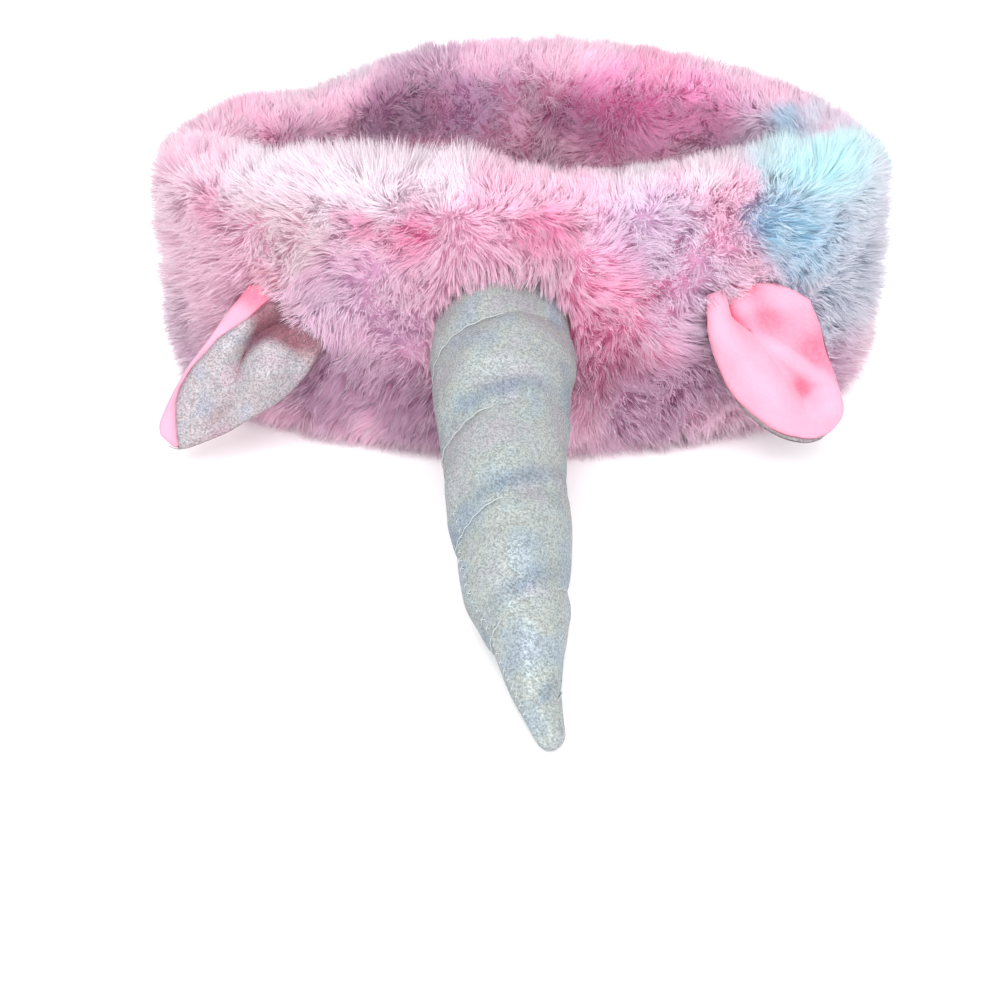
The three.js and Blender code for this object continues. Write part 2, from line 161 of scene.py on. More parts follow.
class Finish:
    """A material being put together. Its fixed values go straight to the shader's own sockets."""

    def __init__(self, name, **fixed):
        self.material = bpy.data.materials.new(name)
        self.material.use_nodes = True
        self.tree = self.material.node_tree
        self.shader = self.tree.nodes["Principled BSDF"]
        for socket, value in fixed.items():
            self.shader.inputs[socket.replace("_", " ")].default_value = value

    def add(self, kind, settings, *values, out=0, **named):
        node = self.tree.nodes.new(kind)
        for key, value in settings.items():
            if key == "stops":
                while len(node.color_ramp.elements) < len(value):
                    node.color_ramp.elements.new(1)
                for element, (position, tone) in zip(node.color_ramp.elements, value):
                    element.position, element.color = position, tone
            else:
                setattr(node, key, value)
        spelt = {key.replace("_", " "): value for key, value in named.items()}
        sockets = dict(enumerate(values)) | spelt
        for key, value in sockets.items():
            self.feed(node.inputs[key], value)
        return Maths(self, node.outputs[out])

    def feed(self, socket, value):
        if isinstance(value, Maths):
            self.tree.links.new(value.socket, socket)
        elif value is not None:
            socket.default_value = value

    def shade(self, **sockets):
        """Feed the shader's own sockets."""
        for key, value in sockets.items():
            self.feed(self.shader.inputs[key.replace("_", " ")], value)

    def mix(self, share, first, second, blend="MIX"):
        node = self.tree.nodes.new("ShaderNodeMix")
        node.data_type, node.blend_type = "RGBA", blend
        self.feed(node.inputs["Factor"], share)
        self.feed(node.inputs[6], first)
        self.feed(node.inputs[7], second)
        return Maths(self, node.outputs[2])

    def rise(self, value, low, high):
        """0 below low and 1 above high, with a smooth slope between."""
        smooth = {"interpolation_type": "SMOOTHSTEP"}
        return self.add("ShaderNodeMapRange", smooth, value, low, high, 0.0, 1.0)

    def noise(self, scale, detail=2.0, out="Fac"):
        return self.add("ShaderNodeTexNoise", {}, self.place(), Scale=scale, Detail=detail, out=out)

    def place(self):
        return self.add("ShaderNodeTexCoord", {}, out="Object")

    def glow_through(self, share, tint):
        """Let a share of the light pass through the thin threads of a pile."""
        through = self.add("ShaderNodeBsdfTranslucent", {}, tint)
        blend = self.tree.nodes.new("ShaderNodeMixShader")
        blend.inputs[0].default_value = share
        self.tree.links.new(self.shader.outputs[0], blend.inputs[1])
        self.tree.links.new(through.socket, blend.inputs[2])
        self.tree.links.new(blend.outputs[0], self.tree.nodes["Material Output"].inputs["Surface"])

    def on(self, *pieces):
        for piece in pieces:
            piece.data.materials.append(self.material)


def colour(red, green, blue):
    """A colour as seen on a screen, from 0 to 255 each, in Blender's own light scale."""
    seen = np.array([red, green, blue]) / 255
    light = np.where(seen <= 0.04045, seen / 12.92, ((seen + 0.055) / 1.055) ** 2.4)
    return (*(float(part) for part in light), 1.0)


# blush is pale dye and painted light on the lit top edge; dusk is dye, and painted shade low down
PINK, BLUSH_DYE_AND_TOP_LIGHT, CREAM = colour(255, 204, 228), colour(255, 244, 252), colour(255, 232, 237)
ROSE, MAUVE, PLUM = colour(252, 150, 194), colour(240, 188, 216), colour(206, 124, 174)
LILAC, DUSK_DYE_AND_LOW_SHADE, MIST = colour(240, 216, 240), colour(184, 128, 166), colour(168, 194, 210)
SKY, AQUA, ICE = colour(152, 222, 244), colour(184, 254, 255), colour(204, 240, 250)
SALMON, CANDY, WINE = colour(255, 172, 166), colour(255, 166, 216), colour(158, 48, 110)
HEATHER = colour(212, 164, 202)
# turn, height, side (1 outside, 0 on top, -1 inside), reach in mm and colour, in brushing order. The
# blush patches along the top edge are pale dye with painted light where the top is lit, and the dusk
# patches low on the outside are painted shade, darker towards the floor; higher up, dusk is dye
DYE_AND_LIGHT_PATCHES = [
    (0.800, 0.55, 1, 46, PINK), (0.835, 0.97, 1, 26, BLUSH_DYE_AND_TOP_LIGHT), (0.865, 0.80, 1, 24, CREAM),
    (0.905, 0.92, 1, 24, BLUSH_DYE_AND_TOP_LIGHT), (0.950, 0.85, 1, 24, PINK), (0.885, 0.58, 1, 16, MAUVE),
    (0.805, 0.98, 1, 19, BLUSH_DYE_AND_TOP_LIGHT), (0.850, 1.00, 0, 24, BLUSH_DYE_AND_TOP_LIGHT), (0.900, 1.00, 0, 21, BLUSH_DYE_AND_TOP_LIGHT),
    (0.945, 1.00, 0, 19, BLUSH_DYE_AND_TOP_LIGHT),
    (0.990, 0.80, 1, 26, PINK), (0.935, 0.78, 1, 14, ROSE), (0.817, 0.92, 1, 8, ROSE),
    (0.812, 0.78, 1, 10, ROSE), (0.908, 0.82, 1, 9, ROSE), (0.925, 0.45, 1, 12, PLUM),
    (0.848, 0.58, 1, 9, SALMON), (0.880, 0.22, 1, 26, DUSK_DYE_AND_LOW_SHADE), (0.930, 0.18, 1, 24, DUSK_DYE_AND_LOW_SHADE),
    (0.780, 0.22, 1, 28, DUSK_DYE_AND_LOW_SHADE), (0.010, 0.82, 1, 14, ROSE), (0.070, 0.80, 1, 26, LILAC),
    (0.030, 1.00, 0, 15, PINK), (0.065, 1.00, 0, 16, BLUSH_DYE_AND_TOP_LIGHT), (0.105, 1.00, 0, 15, BLUSH_DYE_AND_TOP_LIGHT),
    (0.095, 0.55, 1, 24, LILAC), (0.055, 0.70, 1, 9, PLUM), (0.042, 0.34, 1, 23, WINE),
    (0.030, 0.48, 1, 10, ROSE), (0.080, 0.18, 1, 26, DUSK_DYE_AND_LOW_SHADE), (0.105, 0.25, 1, 20, DUSK_DYE_AND_LOW_SHADE),
    (0.195, 0.75, 1, 42, ICE), (0.155, 0.95, 1, 19, AQUA), (0.158, 1.00, 0, 21, AQUA),
    (0.195, 0.97, 1, 24, AQUA), (0.145, 0.78, 1, 16, SKY), (0.170, 0.66, 1, 20, SKY),
    (0.205, 0.42, 1, 30, MIST), (0.240, 0.48, 1, 28, MIST), (0.200, 0.15, 1, 22, DUSK_DYE_AND_LOW_SHADE),
    (0.250, 0.90, 1, 24, AQUA), (0.195, 1.00, 0, 23, AQUA), (0.235, 1.00, 0, 24, AQUA),
    (0.280, 1.00, 0, 22, ICE), (0.170, 0.88, -1, 16, AQUA),
    (0.320, 0.55, 1, 40, LILAC), (0.370, 0.75, 1, 26, ROSE), (0.420, 0.45, 1, 38, PINK),
    (0.480, 0.70, 1, 26, MAUVE), (0.540, 0.40, 1, 36, LILAC), (0.590, 0.75, 1, 30, ICE),
    (0.640, 0.40, 1, 34, ICE), (0.700, 0.70, 1, 30, ROSE), (0.730, 0.30, 1, 24, LILAC),
    (0.300, 0.85, -1, 15, SKY), (0.345, 0.75, -1, 22, LILAC), (0.375, 0.85, -1, 22, CANDY),
    (0.425, 0.80, -1, 30, CANDY), (0.465, 0.75, -1, 17, PLUM), (0.500, 0.90, -1, 18, MAUVE),
    (0.540, 0.80, -1, 24, HEATHER), (0.568, 0.80, -1, 9, ROSE), (0.590, 0.80, -1, 20, DUSK_DYE_AND_LOW_SHADE),
    (0.635, 0.86, -1, 9, SALMON), (0.665, 0.75, -1, 18, MAUVE), (0.750, 0.60, -1, 34, PINK),
    (0.410, 1.00, 0, 16, ROSE), (0.455, 1.00, 0, 16, PINK), (0.510, 1.00, 0, 22, MAUVE),
    (0.570, 1.00, 0, 22, DUSK_DYE_AND_LOW_SHADE), (0.625, 1.00, 0, 10, CREAM),
    (0.900, 0.50, -1, 40, LILAC), (0.050, 0.50, -1, 40, ROSE), (0.180, 0.60, -1, 34, ICE),
]
# how far the edges of a patch wander, and the shares of its reach between which it fades out
DYE_WANDER = 20 * MM
DYE_FULL, DYE_GONE = 0.4, 1.05


def dye_with_painted_light(finish):
    """The dye that was brushed on in soft patches, whose edges wander, with painted light and painted
    shade among them.
    """
    cloudy = finish.noise(55.0, out="Color")
    offset = finish.add("ShaderNodeVectorMath", {"operation": "SUBTRACT"}, cloudy, (0.5, 0.5, 0.5))
    offset = finish.add("ShaderNodeVectorMath", {"operation": "SCALE"}, offset, Scale=DYE_WANDER)
    spot = finish.add("ShaderNodeVectorMath", {"operation": "ADD"}, finish.place(), offset)
    patch_colour = PINK
    for turn, height, side, reach, patch in DYE_AND_LIGHT_PATCHES:
        centre, _, out = ring_place(np.array(turn))
        middle = centre + side * out * WALL / 2 + height * RING_HEIGHT * UPRIGHT
        away = finish.add(
            "ShaderNodeVectorMath", {"operation": "DISTANCE"}, spot, tuple(middle), out="Value")
        outside = finish.rise(away, DYE_FULL * reach * MM, DYE_GONE * reach * MM)
        patch_colour = finish.mix(1 - outside, patch_colour, patch)
    return patch_colour


ring_cloth_finish = Finish("ring cloth", Roughness=0.95)
# painted shade: the cloth's dye is darkened, as it lies deep under the pile
deep = ring_cloth_finish.mix(1.0, dye_with_painted_light(ring_cloth_finish), (0.85, 0.72, 0.80, 1), "MULTIPLY")
ring_cloth_finish.shade(Base_Color=deep)
ring_cloth_finish.on(ring_cloth)
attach(ring_cloth, "root")
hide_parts("fur_band")

# The stuffed horn.
# A cone of silver knit, sewn up one side and stuffed with fibre. Thread is wound round it from root
# to tip and pulled tight, so the knit puffs out between the turns. It droops under its own weight.
HORN_ROOT = np.array([-4.5, 15.9, 49.0]) * MM
HORN_LEAVE = HORN_ROOT + np.array([-3.7, -45.8, -8.0]) * MM
HORN_SAG = HORN_ROOT + np.array([0.0, -104.9, -30.4]) * MM
HORN_TIP = np.array([6.4, -131.8, 4.3]) * MM
HORN_RADIUS = 22.9 * MM
HORN_LIFT = 0.3 * MM
# share of the way to the tip, and girth as a share of the radius at the root
HORN_GIRTH = np.array([
    (0.000, 0.900), (0.080, 0.960), (0.140, 1.000), (0.230, 0.965), (0.320, 0.900), (0.400, 0.835),
    (0.480, 0.810), (0.560, 0.785), (0.630, 0.745), (0.705, 0.685), (0.773, 0.575), (0.841, 0.440),
    (0.906, 0.330), (0.969, 0.225), (1.000, 0.188),
])
THREAD_PITCH, THREAD_START = 32 * MM, 0.25
PUFF_DEPTH = 2.3 * MM
HORN_ROWS, HORN_COLUMNS, NOSE_ROWS = 176, 84, 8


def read_smoothly(table, column, where):
    """A column of a table, read on a smooth curve through its rows."""
    place, value = table[:, 0], table[:, column]
    slope = np.gradient(value, place)
    row = np.clip(np.searchsorted(place, where, side="right") - 1, 0, len(place) - 2)
    step = place[row + 1] - place[row]
    t = np.clip((where - place[row]) / step, 0, 1)
    return (
        value[row] * (1 + 2 * t) * (1 - t) ** 2 + value[row + 1] * t * t * (3 - 2 * t)
        + step * (slope[row] * t * (1 - t) ** 2 - slope[row + 1] * t * t * (1 - t))
    )


def horn_line(along):
    """Points on the middle line of the horn, with its direction, its side and its top."""
    step = np.linspace(0, 1, 2001)[:, None]
    line = (1 - step) ** 3 * HORN_ROOT + 3 * (1 - step) ** 2 * step * HORN_LEAVE
    line = line + 3 * (1 - step) * step ** 2 * HORN_SAG + step ** 3 * HORN_TIP
    run = np.concatenate([[0], np.cumsum(np.linalg.norm(np.diff(line, axis=0), axis=1))])
    heading = np.gradient(line, axis=0)
    heading /= np.linalg.norm(heading, axis=1, keepdims=True)
    here = np.clip(along, 0, 1) * run[-1]
    centre = np.stack([np.interp(here, run, line[:, axis]) for axis in range(3)], -1)
    ahead = np.stack([np.interp(here, run, heading[:, axis]) for axis in range(3)], -1)
    side = np.cross(UPRIGHT, ahead)
    side /= np.linalg.norm(side, axis=-1, keepdims=True)
    return centre, ahead, side, np.cross(ahead, side), run[-1]


def bell(value, width):
    return np.exp(-((value / width) ** 2))


def thread_turns(along, angle):
    """Turns of the thread up to a place on the horn, whole on the thread itself."""
    return along * horn_line(np.array(0.0))[4] / THREAD_PITCH + angle / (2 * math.pi) + THREAD_START


def horn_surface(along, angle, proud=0.0):
    """Points on the horn's cloth, with the angle taken from its top towards the right side."""
    centre, ahead, side, top, length = horn_line(along)
    nose = HORN_RADIUS * HORN_GIRTH[-1, 1]
    past = np.clip((along - 1) * length / nose, 0, 1)
    radius = HORN_RADIUS * read_smoothly(HORN_GIRTH, 1, np.clip(along, 0, 1)) * np.sqrt(1 - past ** 2)
    phase = thread_turns(along, angle)
    puff = np.sin(math.pi * (phase % 1) ** 0.75) ** 0.6
    tight = 0.72 + 0.28 * np.sin(2 * angle + 0.9 * phase + 0.6) + 0.18 * np.sin(5 * angle - 2.3 * phase)
    depth = PUFF_DEPTH * tight * np.minimum(1, radius / HORN_RADIUS + 0.2)
    pucker = 0.22 * MM * np.sin(23 * angle + 3 * np.sin(5 * along * math.pi)) * (1 - puff) ** 0.7
    crumple = 0.42 * MM * np.sin(31 * along + 2 * angle + 1.3 * np.sin(3 * angle + 9 * along))
    crumple = crumple + 0.22 * MM * np.sin(57 * along - 3 * angle + 1.7 * np.sin(2 * angle + 21 * along))
    seam = 0.75 * MM * bell((angle - SEAM_ANGLE) * radius, 0.9 * MM)
    creased = (pucker + crumple) * np.minimum(1, radius / HORN_RADIUS + 0.1)
    radius = radius - depth * (1 - puff) + creased + seam * (past < 1)
    radius = np.maximum(radius + proud, 0)
    point = centre + (past * nose)[..., None] * ahead
    point = point + (radius * np.sin(angle))[..., None] * side
    point = point + (radius * np.cos(angle))[..., None] * top
    point[..., 2] = np.maximum(point[..., 2], HORN_LIFT)
    return point


SEAM_ANGLE = math.radians(360 - 68)
nose_share = HORN_RADIUS * HORN_GIRTH[-1, 1] / horn_line(np.array(0.0))[4]
nose_bend = np.linspace(0, 1, NOSE_ROWS + 1)[1:-1] * math.pi / 2
rows = np.concatenate([
    np.linspace(0, 1, HORN_ROWS), 1 + nose_share * np.sin(nose_bend), [1 + nose_share * 0.995],
])
along, angle = np.meshgrid(rows, np.arange(HORN_COLUMNS) * 2 * math.pi / HORN_COLUMNS, indexing="ij")
# the root is cut off level inside the wall, which takes most from the underside of the sloping horn
cut_off = np.maximum(0, 0.019 - 0.024 * np.cos(angle))
along = np.where(along < 1, cut_off + (1 - cut_off) * along, along)
# painted shade: the knit is darkened towards blue just above the thread, most of all on top, and
# darkened round its sides and underside
above_thread = bell(thread_turns(along, angle) % 1 - 0.86, 0.12)
above_thread = above_thread * np.interp(along, [0.15, 0.3, 0.95, 0.97], [0, 1, 1, 0])
on_top = 0.25 + 0.75 * np.maximum(0, np.cos(angle)) ** 3
beneath = (1 - np.maximum(0, np.cos(angle))) ** 2
shaded = 0.33 * above_thread * on_top + 0.16 * beneath
horn_cover = grid_mesh("horn_cover", horn_surface(along, angle), fold=shaded)


# how fine the foil flecks and the grain of the knit are
FLECK_SCALE, GRAIN_SCALE = 2300.0, 1500.0


def silver_cloth(name, dark, light, shades, shade_tint):
    """Knit with foil flecks, between two greys, in changing shades, darkened towards a tint as painted
    shade.
    """
    finish = Finish(name, Roughness=0.6)
    fleck = finish.add("ShaderNodeTexVoronoi", {}, finish.place(), Scale=FLECK_SCALE, out="Color")
    fleck = finish.add("ShaderNodeSeparateColor", {}, fleck, out="Red")
    stitch = finish.add("ShaderNodeTexVoronoi", {}, finish.place(), Scale=FLECK_SCALE, out="Distance")
    grain = finish.noise(GRAIN_SCALE)
    stops = list(zip((0.32, 0.43, 0.50, 0.57, 0.68), shades))
    shade = finish.add("ShaderNodeValToRGB", {"stops": stops}, finish.noise(75.0, 2.0))
    metal = finish.mix(finish.rise(0.45 * fleck + 0.7 * grain, 0.20, 1.0), dark, light)
    metal = finish.mix(1.0, metal, shade, "MULTIPLY")
    # painted shade: the knit is darkened towards the tint by each point's share of painted shade
    fold = finish.add("ShaderNodeAttribute", {"attribute_name": "fold"}, out="Fac")
    shade_share = finish.rise(fold, 0.0, 0.5) * (0.7 + 0.6 * finish.noise(160.0))
    metal = finish.mix(shade_share, metal, shade_tint, "MULTIPLY")
    height = 0.5 * fleck + 0.35 * grain - 0.4 * stitch
    relief = finish.add("ShaderNodeBump", {}, Strength=0.4, Distance=0.3 * MM, Height=height)
    finish.shade(
        Base_Color=metal, Metallic=0.10 + 0.45 * finish.rise(fleck, 0.60, 0.98),
        Roughness=0.72 - 0.25 * fleck, Normal=relief)
    return finish


# the last colour tints the horn knit's painted shade blue
silver_knit = silver_cloth("silver knit", colour(114, 119, 121), colour(172, 178, 179), [
    colour(226, 235, 246), colour(235, 242, 241), colour(243, 243, 236), colour(240, 241, 241),
    colour(247, 239, 243),
], colour(176, 190, 216))
silver_knit.on(horn_cover)
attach(horn_cover, "root")
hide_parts("horn")

# The horn's thread and its seam stitches.
# Shiny polyester thread, wound tight in one long spiral from the root to the tip, and the small
# cross stitches that close the cone along its left side. The thread lies in the grooves it makes.
THREAD_RADIUS = 0.16 * MM
THREAD_SIDES = 6
STITCH_PITCH, STITCH_REACH, STITCH_RADIUS = 2.6 * MM, 1.1 * MM, 0.13 * MM


def tube_points(line, outward, radius, sides=THREAD_SIDES):
    """Rings of points round a line, with a direction out of what the line lies on."""
    ahead = np.gradient(line, axis=0)
    ahead /= np.linalg.norm(ahead, axis=1, keepdims=True)
    beside = np.cross(ahead, outward)
    beside /= np.linalg.norm(beside, axis=1, keepdims=True)
    above = np.cross(beside, ahead)
    turn = np.arange(sides) * 2 * math.pi / sides
    return line[:, None] + radius * (
        np.cos(turn)[None, :, None] * above[:, None] + np.sin(turn)[None, :, None] * beside[:, None])


def on_horn(along, angle, proud):
    line = horn_surface(along, angle, proud)
    centre = horn_line(along)[0]
    outward = line - centre
    return line, outward / np.linalg.norm(outward, axis=1, keepdims=True)


horn_length = horn_line(np.array(0.0))[4]
along = np.linspace(0.13, 0.965, 900)
thread_line, outward = on_horn(along, -2 * math.pi * thread_turns(along, 0.0), 0.15 * MM)
horn_thread = grid_mesh("horn_thread", tube_points(thread_line, outward, THREAD_RADIUS))

stitch_rings = []
for near in np.arange(0.56, 0.97, STITCH_PITCH / horn_length):
    reach = STITCH_REACH * (0.55 + 0.45 * (1 - near) / 0.44)
    for lean in (-1, 1):
        half = lean * 0.5 * reach / horn_length
        along = np.linspace(near - half, near + half, 5)
        radius = HORN_RADIUS * read_smoothly(HORN_GIRTH, 1, along)
        angle = SEAM_ANGLE + np.linspace(-1, 1, 5) * reach / radius
        line, outward = on_horn(along, angle, 0.1 * MM)
        stitch_rings.append(tube_points(line, outward, STITCH_RADIUS))


def joined(name, parts):
    """Several tubes as one mesh."""
    pieces = [grid_mesh(name, part) for part in parts]
    shape = bmesh.new()
    for piece in pieces:
        shape.from_mesh(piece.data)
        bpy.data.objects.remove(piece)
    mesh = bpy.data.meshes.new(name)
    shape.to_mesh(mesh)
    shape.free()
    mesh.shade_smooth()
    piece = bpy.data.objects.new(name, mesh)
    bpy.context.scene.collection.objects.link(piece)
    return piece


horn_stitches = joined("horn_stitches", stitch_rings)
thread_finish = Finish("silver thread", Roughness=0.35)
twist = thread_finish.add(
    "ShaderNodeTexWave", {}, thread_finish.place(), Scale=900.0, Distortion=1.0, out="Fac")
thread_finish.shade(Base_Color=thread_finish.mix(twist, colour(146, 153, 158), colour(182, 187, 189)))
thread_finish.on(horn_thread, horn_stitches)
for piece in (horn_thread, horn_stitches):
    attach(piece, "root")

# The two ears.
# Each is a pink plush lining sewn to a silver knit back round its edge, turned right side out, folded
# at its foot and sewn into the fur. The right one shows its lining, and the left one its back.
EAR_WIDTH = 34 * MM
EAR_ROOT_DEPTH = 9 * MM
LINING_THICK, BACKING_THICK = 2.0 * MM, 1.5 * MM
EAR_GAP = 0.3 * MM
# how much narrower the sewn-in foot is gathered, and how far it sinks into the fur
FOOT_GATHER, FOOT_SINK = 0.35, 6 * MM
# a fold this deep gets the full painted shade; a rolled edge stands this far forward and is so much
# thicker
FOLD_DEPTH, ROLL_DEPTH, ROLL_SWELL = 6.0 * MM, 2.2 * MM, 0.6
# cloth this near its edge gets a little painted shade, as its seam draws it in
SEAM_REACH, SEAM_SHADE = 3 * MM, 0.16
EAR_ROWS, EAR_COLUMNS = 80, 60
# turn, height, swing and lift in degrees: where each ear is sewn, and how it hangs; slant is how
# much lower its foot is sewn towards the right
RIGHT_EAR = {
    "turn": 0.130, "height": 0.54, "swing": 20.8, "lift": 29.0, "length": 49 * MM, "slant": 0.45}
LEFT_EAR = {
    "turn": 0.862, "height": 0.462, "swing": -36.8, "lift": 31.0, "length": 56 * MM, "slant": 0.0}
# share of the length, then left edge, right edge and crease as shares of the width
RIGHT_EAR["edges"] = np.array([
    (0.00, -0.53, 0.47, -0.26), (0.20, -0.57, 0.47, -0.20), (0.40, -0.58, 0.45, -0.15),
    (0.60, -0.52, 0.41, -0.10), (0.80, -0.39, 0.35, -0.05), (0.93, -0.22, 0.27, -0.03),
    (1.00, 0.02, 0.02, 0.00),
])
LEFT_EAR["edges"] = np.array([
    (0.00, -0.51, 0.42, -0.04), (0.15, -0.49, 0.45, -0.13), (0.35, -0.44, 0.43, -0.08),
    (0.55, -0.42, 0.34, 0.12), (0.72, -0.38, 0.26, 0.20), (0.85, -0.33, 0.16, 0.20),
    (0.95, -0.27, 0.07, 0.20), (1.00, -0.12, -0.06, 0.20),
])


def turned(vector, axis, degrees):
    angle = math.radians(degrees)
    return (
        vector * math.cos(angle) + np.cross(axis, vector) * math.sin(angle)
        + axis * np.dot(axis, vector) * (1 - math.cos(angle))
    )


def ear_frame(ear):
    """Where an ear is sewn on, with the directions across it, down it and out of its seen face."""
    centre, along, out = (part[0] for part in ring_place(np.array([ear["turn"]])))
    thickness = WALL * np.interp(ear["turn"], RING_STATIONS[:, 0], RING_STATIONS[:, 2])
    across = turned(along, out, ear["swing"])
    down = turned(turned(-UPRIGHT, out, ear["swing"]), across, -ear["lift"])
    root = centre + out * thickness / 2 + ear["height"] * RING_HEIGHT * UPRIGHT
    return root, across, down, np.cross(down, across)


def right_relief(along, place, crease):
    """How far the right ear stands out of its plane: a full left lobe folded over a hollow."""
    share = place / EAR_WIDTH
    cup = 11 * np.maximum(share + 0.05, 0) ** 2 * (1 - 0.5 * along)
    cup = cup - 9 * np.maximum(-0.35 - share, 0) ** 1.5
    lobe = 4.6 * bell(share - crease + 0.20, 0.17) * (1 - 0.45 * along)
    step = 2.2 * (1 / (1 + np.exp((share - crease) / 0.018)) - 0.5)
    step = step * np.exp(-((along - 0.42) / 0.36) ** 4)
    upper = -2.8 * bell(share - 0.05, 0.17) * bell(along - 0.10, 0.15)
    recess = -2.8 * bell(share - 0.32, 0.15) * bell(along - 0.44, 0.14)
    fold = 1.8 * bell(share + 0.03 - 0.77 * (along - 0.30), 0.055) * bell(along - 0.48, 0.18)
    pit = -3.4 * bell(share - 0.06, 0.11) * bell(along - 0.67, 0.11)
    notch = -7.0 * bell(share - crease - 0.01, 0.07) * bell(along, 0.13)
    chin = 3.0 * bell(share - 0.14, 0.17) * bell(along - 0.85, 0.10)
    return cup * MM, (lobe + step + upper + recess + fold + pit + notch + chin) * MM


def left_relief(along, place, crease):
    """How far the left ear stands out of its plane: two full lobes parted by a curved pleat."""
    share = place / EAR_WIDTH
    cup = -4 * (2 * share) ** 2 * (1 - 0.6 * along)
    pinch = -5.0 * bell(share - 0.12, 0.26) * bell(along, 0.14)
    corner = -4.0 * bell(share + 0.38, 0.20) * bell(along, 0.14)
    pleat = -4.4 * bell(share - crease, 0.10) * bell(np.maximum(along - 0.20, 0), 0.22)
    lobe = 3.2 * bell(share - 0.20, 0.17) * bell(along - 0.30, 0.17)
    belly = 2.2 * bell(share + 0.28, 0.17) * bell(along - 0.42, 0.36)
    dip = -1.4 * bell(share - 0.10, 0.12) * bell(along - 0.66, 0.16)
    return cup * MM, (pinch + corner + pleat + lobe + belly + dip) * MM


RIGHT_EAR["relief"], LEFT_EAR["relief"] = right_relief, left_relief


def ear_middle(ear, along, share, trims):
    """Points on the middle of an ear, share of the way across, its width there and how deep in a
    fold they are. Trims take cloth off its left edge, as a table, off its right edge and its tip."""
    root, across, down, face = ear_frame(ear)
    shown = np.clip(along, 0, 1)
    bent = np.arcsin(shown)
    table = ear["edges"].copy()
    table[:, 0] = np.arcsin(table[:, 0])
    narrowing = MM * np.sqrt(1 - shown ** 4)
    right = read_smoothly(table, 2, bent) * EAR_WIDTH - trims[1] * narrowing
    left = read_smoothly(table, 1, bent) * EAR_WIDTH + np.interp(shown, *trims[0]) * MM
    left = np.minimum(left, right - 0.4 * MM)
    crease = read_smoothly(table, 3, bent)
    place = left + (right - left) * share
    cup, detail = ear["relief"](shown, place, crease)
    stands = cup + detail
    reach = np.where(along < 0, along * ear["length"], shown * (ear["length"] - trims[2] * MM))
    reach = reach + ear["slant"] * np.maximum(place, 0) * (1 - shown) ** 2
    tucked = np.clip(-along * ear["length"] / EAR_ROOT_DEPTH, 0, 1)
    place = place * (1 - FOOT_GATHER * tucked)
    stands = stands - FOOT_SINK * tucked
    point = root + place[..., None] * across + reach[..., None] * down + stands[..., None] * face
    return point, right - left, np.clip(-detail / FOLD_DEPTH, 0, 1)


def ear_cloth(name, ear, inner, outer, trims, ripple, rim=((0, 1), (0, 0))):
    """One cloth of an ear as a closed sheet with rounded edges, between two distances from the
    middle of the ear. Rim is a table of how far from its left edge it is rolled forward."""
    bent = np.linspace(0, math.pi / 2, EAR_ROWS)
    rows = np.concatenate([[-EAR_ROOT_DEPTH / ear["length"], -0.09], np.sin(bent)[:-1], [0.9995]])
    loop = np.arange(2 * EAR_COLUMNS) * math.pi / EAR_COLUMNS
    share = 0.5 - 0.5 * np.cos(loop)
    along, share = np.meshgrid(rows, share, indexing="ij")
    middle, width, fold = ear_middle(ear, along, share, trims)
    nearby = 1e-3

    def middle_at(along, share):
        return ear_middle(ear, along, share, trims)[0]

    ahead = middle_at(np.minimum(along + nearby, 0.9999), share) - middle_at(along - nearby, share)
    beside = middle_at(along, share + nearby) - middle_at(along, share - nearby)
    normal = np.cross(ahead, beside)
    size = np.linalg.norm(normal, axis=-1, keepdims=True)
    face = ear_frame(ear)[3]
    normal = np.where(size > 1e-12, normal / np.maximum(size, 1e-12), face)
    normal *= np.sign((normal * face).sum(-1, keepdims=True) + 1e-9)
    edge = np.minimum(np.minimum(share, 1 - share) * width, (1 - along) * ear["length"])
    thick = abs(outer - inner)
    rounded = np.sqrt(np.clip(1 - (1 - np.clip(edge / thick, 0, 1)) ** 2, 0, 1))
    upper = np.sin(loop)[None, :] >= 0
    half = np.where(upper, 0.5, -0.5) * thick * np.maximum(rounded, 0.02)
    fine = np.sin(310 * along + 7 * share) * np.sin(9 * share + 5 * along)
    broad = np.sin(37 * along + 5 * np.sin(6 * share)) * np.sin(11 * share - 8 * along)
    wavy = ripple * (fine + broad) * rounded
    rolled = np.clip(1.5 - share * width / (np.interp(along, *rim) * MM + 1e-9), 0, 1)
    rolled = rolled * rolled * (3 - 2 * rolled) * np.clip(rounded, 0.3, 1)
    half = half * (1 + ROLL_SWELL * rolled)
    points = middle + ((inner + outer) / 2 + half + wavy + ROLL_DEPTH * rolled)[..., None] * normal
    # painted shade near the edge, added to that of the folds
    painted_seam_shade = SEAM_SHADE * (1 - np.clip(edge / SEAM_REACH, 0, 1))
    return grid_mesh(name, points, fold=np.clip(fold + painted_seam_shade, 0, 1))


